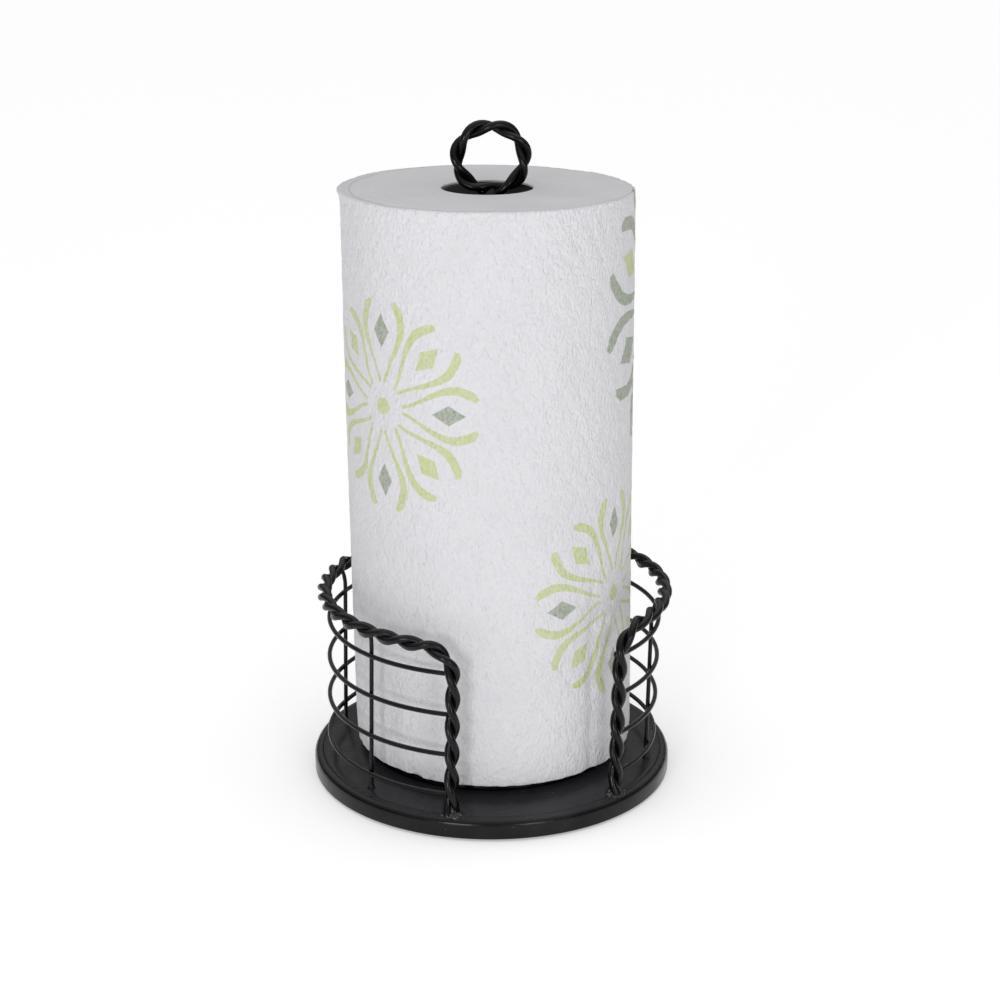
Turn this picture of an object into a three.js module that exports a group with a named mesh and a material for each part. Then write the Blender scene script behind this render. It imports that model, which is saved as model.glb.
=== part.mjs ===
// Paper towel holder, loaded with a roll: a pressed steel base, a post with a twisted finger ring,
// and a low wire cage that is open at the front. Millimetres, +Z up. The origin is the middle of the
// circle that the rubber feet stand on, and the gap in the cage faces -Y.
import * as THREE from 'three';

// Clearance that keeps touching pieces apart
const GAP = 0.3;

// Base pan, pressed from one steel sheet
const BASE_RADIUS = 91;
const SHEET = 1.5;
const SKIRT_BOTTOM = 1;
const DECK_TOP = 10.9;
const RIM_ROUND = 2.6;
const BEAD_WIDTH = 1.4;
const GROOVE_WIDTH = 1.6;
const GROOVE_DEPTH = 0.7;
const ROD_HOLE_RADIUS = 3.4;

// Heavy disc that the roll stands on
const SEAT_RADIUS = 63;
const SEAT_TOP = 17.8;
const SEAT_ROUND = 1.2;

// Washer and nut that clamp post, disc and pan together from below
const WASHER_RADIUS = 8;
const WASHER_THICKNESS = 1.2;
const NUT_ACROSS_FLATS = 10;
const NUT_HEIGHT = 4;
const THREAD_STICKS_OUT = 1;

// Cover that closes the pan, and the rubber feet under it
const COVER_BOTTOM = 1.3;
const COVER_THICKNESS = 2;
const COVER_HOLE_RADIUS = 13;
const FOOT_COUNT = 4;
const FOOT_RING_RADIUS = 72;
const FOOT_RADIUS = 7;

// Post
const POST_RADIUS = 3;
const SHOULDER_RADIUS = 6.5;
const SHOULDER_HEIGHT = 3;

// Finger ring: two wires twisted together and bent round
const STRAND_RADIUS = 1.75;
const STRAND_OFFSET = 1.97;
const RING_TURN = -16 * Math.PI / 180;
const RING_HALF_WIDTH = 15.9;
const RING_HALF_HEIGHT = 15;
const RING_MIDDLE = 312;
const RING_HALF_TWISTS = 7;
const RING_END_GAP = 0.5;

// Cage: a twisted rail on two uprights, plain hoops and plain stays
const RAIL_RADIUS = 85.6;
const RAIL_HEIGHT = 95.8;
const RAIL_CORNER = 15;
const RAIL_HALF_TWISTS = 43.65;
const RAIL_FIRST_PHASE = 0.79 * Math.PI;
const HALF_OPENING = 28.9 * Math.PI / 180;
const RAIL_FOOT_CLEARANCE = 1;
const CAGE_LEAN = 0.02;
const HOOP_RADIUS = 83.3;
const HOOP_WIRE_RADIUS = 1.15;
const HOOP_COUNT = 4;
const HOOP_LOWEST = 20;
const HOOP_SPACING = 20.7;
const HOOP_END_CLEARANCE = 0.6;
const STAY_WIRE_RADIUS = 1.05;
const STAY_DEGREES = {
  stay_front_left: -62.5,
  stay_back_left: -124,
  stay_back: 180,
  stay_back_right: 122,
  stay_front_right: 58,
};

// Paper towel roll
const CORE_INNER_RADIUS = 22.1;
const CORE_WALL = 1.5;
const ROLL_RADIUS = 70;
const ROLL_LENGTH = 279.4;

// Facets
const LATHE_FACETS = 60;
const ROD_FACETS = 24;
const WIRE_FACETS = 6;
const STRAND_FACETS = 7;
const STAY_FACETS = 10;
const ARC_POINTS = 4;
const HOOP_STEPS = 56;
const STEPS_PER_HALF_TWIST = 4.5;

// Heights and radii worked out from the values above
const ROPE_RADIUS = STRAND_OFFSET + STRAND_RADIUS;
const WASHER_TOP = DECK_TOP - SHEET - GAP;
const NUT_TOP = WASHER_TOP - WASHER_THICKNESS - GAP;
const POST_BOTTOM = NUT_TOP - NUT_HEIGHT - THREAD_STICKS_OUT;
const POST_TOP = RING_MIDDLE - RING_HALF_HEIGHT - ROPE_RADIUS - GAP;
const RAIL_FOOT = DECK_TOP + RAIL_FOOT_CLEARANCE;
const ROLL_BOTTOM = SEAT_TOP + GAP;

const blackPaint = { color: 0x2e2d30, roughness: 0.45, metalness: 0.3 };
const coverBoard = { color: 0x4a3f36, roughness: 0.85, metalness: 0 };
const zincSteel = { color: 0xb4b6b8, roughness: 0.35, metalness: 0.9 };
const footRubber = { color: 0x1d1d1f, roughness: 0.85, metalness: 0 };
const coreBoard = { color: 0xb59a78, roughness: 0.9, metalness: 0 };
const towelPaper = { color: 0xe6e5e8, roughness: 0.9, metalness: 0 };

const holder = new THREE.Group();

function addPiece(name, geometry, finish, parent = holder) {
  const mesh = new THREE.Mesh(geometry, new THREE.MeshStandardMaterial(finish));
  mesh.name = name;
  parent.add(mesh);
  return mesh;
}

// A profile in radius and height, turned about the Z axis.
function turned(profile, facets) {
  return new THREE.LatheGeometry(profile, facets).rotateX(Math.PI / 2);
}

function tube(innerRadius, outerRadius, bottom, top, facets) {
  const outline = new THREE.Path();
  outline.moveTo(innerRadius, bottom);
  outline.lineTo(outerRadius, bottom);
  outline.lineTo(outerRadius, top);
  outline.lineTo(innerRadius, top);
  outline.closePath();
  return turned(outline.getPoints(), facets);
}

function disc(radius, height, facets) {
  const geometry = new THREE.CylinderGeometry(radius, radius, height, facets);
  return geometry.rotateX(Math.PI / 2).translate(0, 0, height / 2);
}

// Round wire drawn along a curve.
function wire(curve, radius, facets, steps) {
  const corner = (k) => {
    const angle = 2 * Math.PI * k / facets;
    return new THREE.Vector2(radius * Math.cos(angle), radius * Math.sin(angle));
  };
  const section = new THREE.Shape(Array.from({ length: facets }, (_, k) => corner(k)));
  return new THREE.ExtrudeGeometry(section, { steps, bevelEnabled: false, extrudePath: curve });
}

// A place by its angle from the front (positive to the right), radius and height.
function polarPoint(angle, radius, height) {
  return new THREE.Vector3(radius * Math.sin(angle), -radius * Math.cos(angle), height);
}

// The same on the cage, which leans a little to the right as it rises.
function cagePoint(angle, radius, height) {
  const point = polarPoint(angle, radius, height);
  point.x += CAGE_LEAN * (height - DECK_TOP);
  return point;
}

class HoopCurve extends THREE.Curve {
  constructor(height) {
    super();
    this.height = height;
    this.start = HALF_OPENING + (ROPE_RADIUS + HOOP_END_CLEARANCE) / HOOP_RADIUS;
  }

  getPoint(t) {
    const angle = -this.start - 2 * (Math.PI - this.start) * t;
    return cagePoint(angle, HOOP_RADIUS, this.height);
  }
}

// The rail's middle line, wrapped on a cylinder: up the left front upright, round the back and
// down the right front upright, with two rounded corners.
class RailPath extends THREE.Curve {
  constructor() {
    super();
    this.rise = RAIL_HEIGHT - RAIL_CORNER - RAIL_FOOT;
    this.bend = RAIL_CORNER * Math.PI / 2;
    this.around = 2 * RAIL_RADIUS * (Math.PI - HALF_OPENING);
    this.run = this.around - 2 * RAIL_CORNER;
    this.length = 2 * (this.rise + this.bend) + this.run;
  }

  // Distance round the cage from the left upright, and height, for the first half of the rail
  unrolled(distance) {
    if (distance < this.rise) {
      return [0, RAIL_FOOT + distance];
    }
    const turn = (distance - this.rise) / RAIL_CORNER;
    if (turn < Math.PI / 2) {
      const across = RAIL_CORNER * (1 - Math.cos(turn));
      return [across, RAIL_FOOT + this.rise + RAIL_CORNER * Math.sin(turn)];
    }
    return [RAIL_CORNER + distance - this.rise - this.bend, RAIL_HEIGHT];
  }

  getPoint(t) {
    const distance = t * this.length;
    const mirrored = distance > this.length / 2;
    const [across, height] = this.unrolled(mirrored ? this.length - distance : distance);
    const angle = HALF_OPENING + across / RAIL_RADIUS;
    return cagePoint(mirrored ? angle : -angle, RAIL_RADIUS, height);
  }

  outward(point) {
    return new THREE.Vector3(point.x, point.y, 0).normalize();
  }
}

// The finger ring's middle line, an upright oval that starts and ends at the post.
class RingPath extends THREE.Curve {
  getPoint(t) {
    const start = RING_END_GAP / RING_HALF_WIDTH;
    const angle = -Math.PI / 2 + start + 2 * (Math.PI - start) * t;
    const across = RING_HALF_WIDTH * Math.cos(angle);
    return new THREE.Vector3(across, 0, RING_MIDDLE + RING_HALF_HEIGHT * Math.sin(angle));
  }

  outward(point) {
    return new THREE.Vector3(point.x, 0, point.z - RING_MIDDLE).normalize();
  }
}

// One of the two wires of a left-handed twist about a path.
class StrandCurve extends THREE.Curve {
  constructor(path, halfTwists, phase) {
    super();
    this.path = path;
    this.halfTwists = halfTwists;
    this.phase = phase;
    this.arcLengthDivisions = Math.round(40 * halfTwists);
  }

  getPoint(t) {
    const middle = this.path.getPoint(t);
    const tangent = this.path.getTangent(t);
    const outward = this.path.outward(middle);
    const sideways = tangent.cross(outward).normalize();
    const angle = this.phase - Math.PI * this.halfTwists * t;
    middle.addScaledVector(outward, STRAND_OFFSET * Math.cos(angle));
    return middle.addScaledVector(sideways, STRAND_OFFSET * Math.sin(angle));
  }
}

function addStrands(name, path, halfTwists, firstPhase, parent) {
  const steps = Math.round(halfTwists * STEPS_PER_HALF_TWIST);
  ['a', 'b'].forEach((letter, k) => {
    const curve = new StrandCurve(path, halfTwists, firstPhase + k * Math.PI);
    addPiece(`${name}_${letter}`, wire(curve, STRAND_RADIUS, STRAND_FACETS, steps), blackPaint, parent);
  });
}

// The pan's closed outline: over the top from the skirt to the rod hole, then back underneath.
function panOutline() {
  const rimMiddle = BASE_RADIUS - RIM_ROUND;
  const grooveOuter = rimMiddle - BEAD_WIDTH;
  const grooveInner = grooveOuter - GROOVE_WIDTH;
  const outline = new THREE.Path();
  outline.moveTo(BASE_RADIUS, SKIRT_BOTTOM);
  outline.lineTo(BASE_RADIUS, DECK_TOP - RIM_ROUND);
  outline.absarc(rimMiddle, DECK_TOP - RIM_ROUND, RIM_ROUND, 0, Math.PI / 2);
  outline.lineTo(grooveOuter, DECK_TOP);
  outline.lineTo((grooveOuter + grooveInner) / 2, DECK_TOP - GROOVE_DEPTH);
  outline.lineTo(grooveInner, DECK_TOP);
  outline.lineTo(ROD_HOLE_RADIUS, DECK_TOP);
  outline.lineTo(ROD_HOLE_RADIUS, DECK_TOP - SHEET);
  outline.lineTo(rimMiddle, DECK_TOP - SHEET);
  outline.lineTo(BASE_RADIUS - SHEET, DECK_TOP - RIM_ROUND);
  outline.lineTo(BASE_RADIUS - SHEET, SKIRT_BOTTOM);
  outline.closePath();
  return outline;
}

function seatOutline() {
  const outline = new THREE.Path();
  outline.moveTo(ROD_HOLE_RADIUS, DECK_TOP + GAP);
  outline.lineTo(SEAT_RADIUS, DECK_TOP + GAP);
  outline.lineTo(SEAT_RADIUS, SEAT_TOP - SEAT_ROUND);
  outline.absarc(SEAT_RADIUS - SEAT_ROUND, SEAT_TOP - SEAT_ROUND, SEAT_ROUND, 0, Math.PI / 2);
  outline.lineTo(ROD_HOLE_RADIUS, SEAT_TOP);
  outline.closePath();
  return outline;
}

function addBase() {
  addPiece('base_pan', turned(panOutline().getPoints(ARC_POINTS), LATHE_FACETS), blackPaint);
  addPiece('seat_disc', turned(seatOutline().getPoints(ARC_POINTS), LATHE_FACETS), blackPaint);
  const coverRadius = BASE_RADIUS - SHEET - GAP;
  const coverTop = COVER_BOTTOM + COVER_THICKNESS;
  const cover = tube(COVER_HOLE_RADIUS, coverRadius, COVER_BOTTOM, coverTop, LATHE_FACETS);
  addPiece('bottom_cover', cover, coverBoard);
}

function addFeet() {
  for (let k = 0; k < FOOT_COUNT; k += 1) {
    const angle = (2 * k + 1) * Math.PI / FOOT_COUNT;
    const foot = disc(FOOT_RADIUS, COVER_BOTTOM - GAP, ROD_FACETS);
    const mesh = addPiece(`foot_${k + 1}`, foot, footRubber);
    mesh.position.copy(polarPoint(angle, FOOT_RING_RADIUS, 0));
  }
}

// The post's outline, from the axis at its lower end over the shoulder to the axis at its top.
function postOutline() {
  const outline = new THREE.Path();
  outline.moveTo(0, POST_BOTTOM);
  outline.lineTo(POST_RADIUS, POST_BOTTOM);
  outline.lineTo(POST_RADIUS, ROLL_BOTTOM);
  outline.lineTo(SHOULDER_RADIUS, ROLL_BOTTOM);
  outline.lineTo(SHOULDER_RADIUS, ROLL_BOTTOM + SHOULDER_HEIGHT);
  outline.lineTo(POST_RADIUS, ROLL_BOTTOM + SHOULDER_HEIGHT);
  outline.lineTo(POST_RADIUS, POST_TOP);
  outline.lineTo(0, POST_TOP);
  return outline;
}

function nutBody() {
  const outer = new THREE.Shape();
  const cornerRadius = NUT_ACROSS_FLATS / Math.sqrt(3);
  for (let k = 0; k < 6; k += 1) {
    const angle = k * Math.PI / 3;
    const draw = k === 0 ? 'moveTo' : 'lineTo';
    outer[draw](cornerRadius * Math.cos(angle), cornerRadius * Math.sin(angle));
  }
  outer.closePath();
  const hole = new THREE.Path();
  hole.absarc(0, 0, POST_RADIUS + GAP, 0, 2 * Math.PI, true);
  outer.holes.push(hole);
  const nut = new THREE.ExtrudeGeometry(outer, { depth: NUT_HEIGHT, bevelEnabled: false });
  return nut.translate(0, 0, NUT_TOP - NUT_HEIGHT);
}

function addPost() {
  addPiece('post', turned(postOutline().getPoints(), ROD_FACETS), blackPaint);
  const washerBottom = WASHER_TOP - WASHER_THICKNESS;
  const washer = tube(ROD_HOLE_RADIUS, WASHER_RADIUS, washerBottom, WASHER_TOP, ROD_FACETS);
  addPiece('post_washer', washer, zincSteel);
  addPiece('post_nut', nutBody(), zincSteel);
}

function addRing() {
  const ring = new THREE.Group();
  ring.rotation.z = RING_TURN;
  holder.add(ring);
  addStrands('ring_strand', new RingPath(), RING_HALF_TWISTS, 0, ring);
}

function addHoops() {
  for (let k = 0; k < HOOP_COUNT; k += 1) {
    const curve = new HoopCurve(HOOP_LOWEST + k * HOOP_SPACING);
    addPiece(`hoop_${k + 1}`, wire(curve, HOOP_WIRE_RADIUS, WIRE_FACETS, HOOP_STEPS), blackPaint);
  }
}

function addStays() {
  const radius = HOOP_RADIUS - HOOP_WIRE_RADIUS - GAP - STAY_WIRE_RADIUS;
  const top = RAIL_HEIGHT - ROPE_RADIUS - GAP;
  for (const [name, degrees] of Object.entries(STAY_DEGREES)) {
    const angle = degrees * Math.PI / 180;
    const foot = cagePoint(angle, radius, DECK_TOP + GAP);
    const line = new THREE.LineCurve3(foot, cagePoint(angle, radius, top));
    addPiece(name, wire(line, STAY_WIRE_RADIUS, STAY_FACETS, 1), blackPaint);
  }
}

function addRoll() {
  const coreOuter = CORE_INNER_RADIUS + CORE_WALL;
  const top = ROLL_BOTTOM + ROLL_LENGTH;
  const core = tube(CORE_INNER_RADIUS, coreOuter, ROLL_BOTTOM, top, LATHE_FACETS);
  addPiece('towel_core', core, coreBoard);
  const paper = tube(coreOuter + GAP, ROLL_RADIUS, ROLL_BOTTOM, top, LATHE_FACETS);
  addPiece('towel_roll', paper, towelPaper);
}

addBase();
addFeet();
addPost();
addRing();
addStrands('rail_strand', new RailPath(), RAIL_HALF_TWISTS, RAIL_FIRST_PHASE, holder);
addHoops();
addStays();
addRoll();

export default holder;
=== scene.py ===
import math

import bmesh
import bpy
from mathutils import Matrix, Vector, noise


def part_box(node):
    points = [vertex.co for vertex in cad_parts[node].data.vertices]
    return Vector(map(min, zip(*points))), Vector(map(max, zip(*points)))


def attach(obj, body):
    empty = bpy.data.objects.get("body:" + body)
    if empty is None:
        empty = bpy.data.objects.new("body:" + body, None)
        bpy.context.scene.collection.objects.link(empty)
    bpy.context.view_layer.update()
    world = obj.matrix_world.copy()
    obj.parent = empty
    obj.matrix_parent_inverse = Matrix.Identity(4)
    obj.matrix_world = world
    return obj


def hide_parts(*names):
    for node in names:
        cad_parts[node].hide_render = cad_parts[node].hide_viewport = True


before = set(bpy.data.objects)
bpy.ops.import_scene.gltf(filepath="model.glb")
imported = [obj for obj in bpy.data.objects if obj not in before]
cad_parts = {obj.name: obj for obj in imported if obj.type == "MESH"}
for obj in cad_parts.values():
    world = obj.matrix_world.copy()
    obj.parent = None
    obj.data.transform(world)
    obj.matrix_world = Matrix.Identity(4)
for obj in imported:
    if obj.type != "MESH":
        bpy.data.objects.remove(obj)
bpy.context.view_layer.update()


# ----------------------------------------------------------
# Base pan: a shallow dish pressed from one steel sheet, with a groove and a bead run round its rim,
# a deck that rises a little towards the seat, and a lower edge curled inwards so that it doesn't
# cut. The rest is welded or bolted on, and the whole holder is then coated black in one go.

MM = 0.001
PAN_STEPS = 192
SHEET = 1.5 * MM
HEM_RADIUS = 0.9 * MM
ROD_HOLE = 3.4 * MM
CORNER_SEGMENTS = 6
SHARP_ANGLE = math.radians(38)


def draw_outline(bm, points):
    """A closed wire through (radius, height, rounding) points, with its corners rounded."""
    verts = [bm.verts.new((radius, 0, height)) for radius, height, _ in points]
    for first, second in zip(verts, verts[1:] + verts[:1]):
        bm.edges.new((first, second))
    for vert, (_, _, rounding) in zip(verts, points):
        if rounding > 0:
            bmesh.ops.bevel(
                bm,
                geom=[vert],
                affect="VERTICES",
                offset=rounding,
                segments=CORNER_SEGMENTS,
                profile=0.5,
                material=-1,
            )


def close_and_face_out(bm):
    """Merges what meets and turns every face outwards."""
    bmesh.ops.remove_doubles(bm, verts=bm.verts, dist=1e-6)
    bmesh.ops.recalc_face_normals(bm, faces=bm.faces)


def turn_about_axis(bm, steps):
    """Spins the drawn outline once round the Z axis."""
    bmesh.ops.spin(
        bm,
        geom=bm.verts[:] + bm.edges[:],
        cent=(0, 0, 0),
        axis=(0, 0, 1),
        angle=2 * math.pi,
        steps=steps,
        use_merge=True,
    )
    close_and_face_out(bm)


def make_piece(name, bm, material, body, slot, *nodes):
    """An object from the bmesh, shaded smooth between its sharp edges, that rides on a body."""
    for edge in bm.edges:
        edge.smooth = edge.calc_face_angle(0.0) < SHARP_ANGLE
    for face in bm.faces:
        face.smooth = True
    mesh = bpy.data.meshes.new(name)
    bm.to_mesh(mesh)
    bm.free()
    mesh.materials.append(material)
    piece = bpy.data.objects.new(name, mesh)
    bpy.context.scene.collection.objects.link(piece)
    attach(piece, body)
    if nodes:
        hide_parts(*nodes)
    return piece


def linear(hex_colour):
    """An sRGB hex colour as the linear RGBA that shaders take."""
    channels = [int(hex_colour[k : k + 2], 16) / 255 for k in (1, 3, 5)]
    return [c / 12.92 if c <= 0.04045 else ((c + 0.055) / 1.055) ** 2.4 for c in channels] + [1]


def feed(tree, node, inputs):
    """Sets or links a node's inputs. A node given as an input stands for its first output."""
    for key, value in inputs.items():
        if isinstance(value, bpy.types.Node):
            value = value.outputs[0]
        if isinstance(value, bpy.types.NodeSocket):
            tree.links.new(value, node.inputs[key])
        else:
            node.inputs[key].default_value = value


def add(tree, kind, settings, inputs):
    """Adds a node with its settings, and sets or links its inputs."""
    node = tree.nodes.new(kind)
    for name, value in settings.items():
        setattr(node, name, value)
    feed(tree, node, inputs)
    return node


def new_material(name):
    """A material with an empty shader, its node tree, and the object's own coordinates."""
    material = bpy.data.materials.new(name)
    material.use_nodes = True
    tree = material.node_tree
    shader = tree.nodes["Principled BSDF"]
    place = add(tree, "ShaderNodeTexCoord", {}, {}).outputs["Object"]
    return material, tree, shader, place


COLOURS = {"data_type": "RGBA"}
SMOOTH = {"interpolation_type": "SMOOTHSTEP"}
TIMES = {"operation": "MULTIPLY"}


def black_enamel():
    """Black enamel baked on steel: near black, with thin bright highlights. The coat has a fine
    orange peel, is a little duller and greyer where it is rubbed, and is lighter wherever it lies
    flat: partly fine dust, and partly a painted sheen for the bright surround it reflects. It has
    a few pin-sized pale grey specks."""
    material, tree, shader, place = new_material("black_baking_enamel")
    peel = add(tree, "ShaderNodeTexNoise", {}, {"Vector": place, "Scale": 1 / (1.6 * MM), "Detail": 2.0})
    runs = add(tree, "ShaderNodeTexNoise", {}, {"Vector": place, "Scale": 1 / (9 * MM), "Detail": 3.0})
    dust = add(tree, "ShaderNodeTexNoise", {}, {"Vector": place, "Scale": 1 / (26 * MM), "Detail": 6.0})
    specks = add(tree, "ShaderNodeTexNoise", {}, {"Vector": place, "Scale": 1 / (2.2 * MM), "Detail": 1.0})
    greyed = add(tree, "ShaderNodeMapRange", SMOOTH, {"Value": dust, "From Min": 0.45, "From Max": 0.72})
    coat = add(tree, "ShaderNodeMix", COLOURS, {0: greyed, 6: linear("#080709"), 7: linear("#161517")})
    # Dust and painted sheen: faces that point up are mixed towards a lighter grey (#3a383b). Part of this
    # is settled dust, and part is a painted sheen standing in for the bright surround that flat faces and
    # the tops of the wires reflect.
    facing = add(tree, "ShaderNodeNewGeometry", {}, {}).outputs["Normal"]
    upward = add(tree, "ShaderNodeSeparateXYZ", {}, {"Vector": facing}).outputs["Z"]
    lies_flat = add(
        tree,
        "ShaderNodeMapRange",
        SMOOTH,
        {"Value": upward, "From Min": 0.55, "From Max": 0.97, "To Min": 0.0, "To Max": 0.75},
    )
    dust_and_sheen_amount = add(
        tree, "ShaderNodeMath", {"operation": "MULTIPLY_ADD"}, {0: greyed, 1: 0.25, 2: lies_flat}
    )
    settled_dust_and_sheen = add(tree, "ShaderNodeMath", TIMES, {0: dust_and_sheen_amount, 1: lies_flat})
    dust_and_sheen_coat = add(tree, "ShaderNodeMix", COLOURS, {0: settled_dust_and_sheen, 6: coat.outputs[2], 7: linear("#3a383b")})
    # A few pin-sized pale grey specks, scattered at random through the coat.
    pale_specks = add(tree, "ShaderNodeMapRange", {}, {"Value": specks, "From Min": 0.8, "From Max": 0.83})
    colour = add(tree, "ShaderNodeMix", COLOURS, {0: pale_specks, 6: dust_and_sheen_coat.outputs[2], 7: linear("#7c7b7d")})
    gloss = add(
        tree,
        "ShaderNodeMapRange",
        {},
        {"Value": runs, "From Min": 0.3, "From Max": 0.7, "To Min": 0.18, "To Max": 0.3},
    )
    waves = add(tree, "ShaderNodeBump", {}, {"Height": runs, "Distance": 0.25 * MM, "Strength": 0.5})
    skin = add(
        tree,
        "ShaderNodeBump",
        {},
        {"Height": peel, "Distance": 0.08 * MM, "Strength": 0.55, "Normal": waves},
    )
    feed(tree, shader, {"IOR": 1.32, "Base Color": colour.outputs[2], "Roughness": gloss, "Normal": skin})
    return material


ENAMEL = black_enamel()
COATED = (ENAMEL, "holder", "black_paint")

pan_low, pan_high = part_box("base_pan")
PAN_RADIUS = pan_high.x
DECK = pan_high.z
SKIRT_FOOT = pan_low.z
RIM_ROUND = 3.4 * MM
BEAD_WIDTH = 3.9 * MM
BEAD_STANDS = 0.15 * MM
GROOVE_WIDTH = 1.8 * MM
GROOVE_DEPTH = 0.6 * MM
RECESS_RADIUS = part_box("seat_disc")[1].x + 0.4 * MM
RECESS_EDGE = 1.2 * MM
DECK_RISE = 3.2 * MM
FOLD = 0.5 * MM


def deck_level(radius):
    """The height of the deck, which rises a little from its rim groove to the seat's recess."""
    groove_inner = PAN_RADIUS - BEAD_WIDTH - GROOVE_WIDTH
    share = (groove_inner - radius) / (groove_inner - RECESS_RADIUS)
    return DECK - BEAD_STANDS + DECK_RISE * max(0.0, min(1.0, share))


def pressed_pan():
    bead_inner = PAN_RADIUS - BEAD_WIDTH
    groove_inner = bead_inner - GROOVE_WIDTH
    groove_floor = DECK - GROOVE_DEPTH
    inside = PAN_RADIUS - SHEET
    hem_inner = PAN_RADIUS - 2 * SHEET - HEM_RADIUS
    bm = bmesh.new()
    draw_outline(
        bm,
        [
            (PAN_RADIUS, SKIRT_FOOT, HEM_RADIUS),
            (PAN_RADIUS, DECK, RIM_ROUND),
            (bead_inner, DECK, 0.7 * MM),
            (bead_inner - 0.5 * GROOVE_WIDTH, groove_floor, 0.6 * MM),
            (groove_inner, DECK - BEAD_STANDS, 0.8 * MM),
            (RECESS_RADIUS, deck_level(RECESS_RADIUS), RECESS_EDGE),
            (RECESS_RADIUS, DECK - BEAD_STANDS, 0),
            (ROD_HOLE, DECK - BEAD_STANDS, 0),
            (ROD_HOLE, DECK - SHEET, 0),
            (RECESS_RADIUS + SHEET, DECK - SHEET, 0),
            (RECESS_RADIUS + SHEET, deck_level(RECESS_RADIUS) - SHEET, 0),
            (groove_inner, DECK - SHEET, FOLD),
            (bead_inner - 0.5 * GROOVE_WIDTH, groove_floor - SHEET, FOLD),
            (inside - 0.8 * MM, DECK - SHEET, FOLD),
            (inside, DECK - 2 * SHEET, FOLD),
            (inside, SKIRT_FOOT + 4 * HEM_RADIUS, 0),
            (hem_inner, SKIRT_FOOT + 3 * HEM_RADIUS, FOLD),
            (hem_inner, SKIRT_FOOT, 0.6 * MM),
        ],
    )
    turn_about_axis(bm, PAN_STEPS)
    return bm


make_piece("pressed_pan", pressed_pan(), *COATED, "base_pan")


# ----------------------------------------------------------
# Seat disc: a thick turned steel disc that the roll stands on. Its weight keeps the holder down
# while a sheet is torn off. It has a rounded upper edge and three shallow turning marks.

SEAT_EDGE = 1.2 * MM
SEAT_STEPS = 160
SEAT_UNDERCUT = 0.6 * MM
SEAT_LIFT = 0.4 * MM
TURNING_MARK = 0.15 * MM
MARK_HALF_WIDTH = 0.8 * MM
MARKS_AT = (0.85, 0.6, 0.35)

seat_low, seat_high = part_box("seat_disc")


def turned_seat():
    radius = seat_high.x
    top = seat_high.z
    points = [
        (ROD_HOLE, DECK - BEAD_STANDS, 0),
        (radius - SEAT_UNDERCUT, DECK - BEAD_STANDS, 0),
        (radius, seat_low.z + SEAT_LIFT, 0.3 * MM),
        (radius, top, SEAT_EDGE),
    ]
    for share in MARKS_AT:
        mark = radius * share
        points.append((mark + MARK_HALF_WIDTH, top, 0))
        points.append((mark, top - TURNING_MARK, 0))
        points.append((mark - MARK_HALF_WIDTH, top, 0))
    points.append((ROD_HOLE, top, 0))
    bm = bmesh.new()
    draw_outline(bm, points)
    turn_about_axis(bm, SEAT_STEPS)
    return bm


make_piece("turned_seat", turned_seat(), *COATED, "seat_disc")


# ----------------------------------------------------------
# Post: a 6 mm steel rod through the middle of the roll. A collar is pressed on where it stands on
# the seat disc, its lower end is threaded, and its top is welded to the finger ring.

POST_STEPS = 40
THREAD_PITCH = 1.0 * MM
THREAD_DEPTH = 0.55 * MM
THREAD_LENGTH = 7 * MM

post_low, post_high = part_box("post")
nut_low, nut_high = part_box("post_nut")
POST_RADIUS = 3 * MM
COLLAR_RADIUS = post_high.x
COLLAR_FOOT = seat_high.z
COLLAR_TOP = COLLAR_FOOT + 3.3 * MM
WELD_FLARE = 0.9 * MM
WELD_FLARE_LENGTH = 3 * MM
WELD_DOME = 0.8 * MM


def rod_on_axis(bm, points):
    """Spins an outline that starts and ends on the axis into a closed rod."""
    draw_outline(bm, points)
    on_axis = [e for e in bm.edges if max(abs(v.co.x) for v in e.verts) < 1e-7]
    bmesh.ops.delete(bm, geom=on_axis, context="EDGES")
    turn_about_axis(bm, POST_STEPS)


def threaded_post():
    points = [(0, post_low.z, 0), (POST_RADIUS - THREAD_DEPTH, post_low.z, 0.2 * MM)]
    turns = int(THREAD_LENGTH / THREAD_PITCH)
    for k in range(turns):
        root = post_low.z + (k + 0.25) * THREAD_PITCH
        points.append((POST_RADIUS - THREAD_DEPTH, root, 0))
        points.append((POST_RADIUS, root + 0.5 * THREAD_PITCH, 0))
    points += [
        (POST_RADIUS, COLLAR_FOOT, 0),
        (COLLAR_RADIUS, COLLAR_FOOT, 0),
        (COLLAR_RADIUS, COLLAR_TOP, 0.6 * MM),
        (POST_RADIUS, COLLAR_TOP, 0.5 * MM),
        (POST_RADIUS, post_high.z - WELD_FLARE_LENGTH, 2 * MM),
        (POST_RADIUS + WELD_FLARE, post_high.z, 0.6 * MM),
        (0, post_high.z + WELD_DOME, 0),
    ]
    bm = bmesh.new()
    rod_on_axis(bm, points)
    return bm


make_piece("threaded_post", threaded_post(), *COATED, "post")


# ----------------------------------------------------------
# Washer and nut: bought zinc plated steel parts. They pull the post's collar, the seat disc and
# the pan together from below, and are the only bare metal on the holder.

WASHER_STEPS = 64
WASHER_GAP = 0.2 * MM
PUNCHED_EDGE = 0.15 * MM
ROLLED_EDGE = 0.35 * MM
NUT_STEPS = 96
NUT_CHAMFER = 0.7 * MM
THREAD_GAP = 0.05 * MM

washer_low, washer_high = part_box("post_washer")


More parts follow.
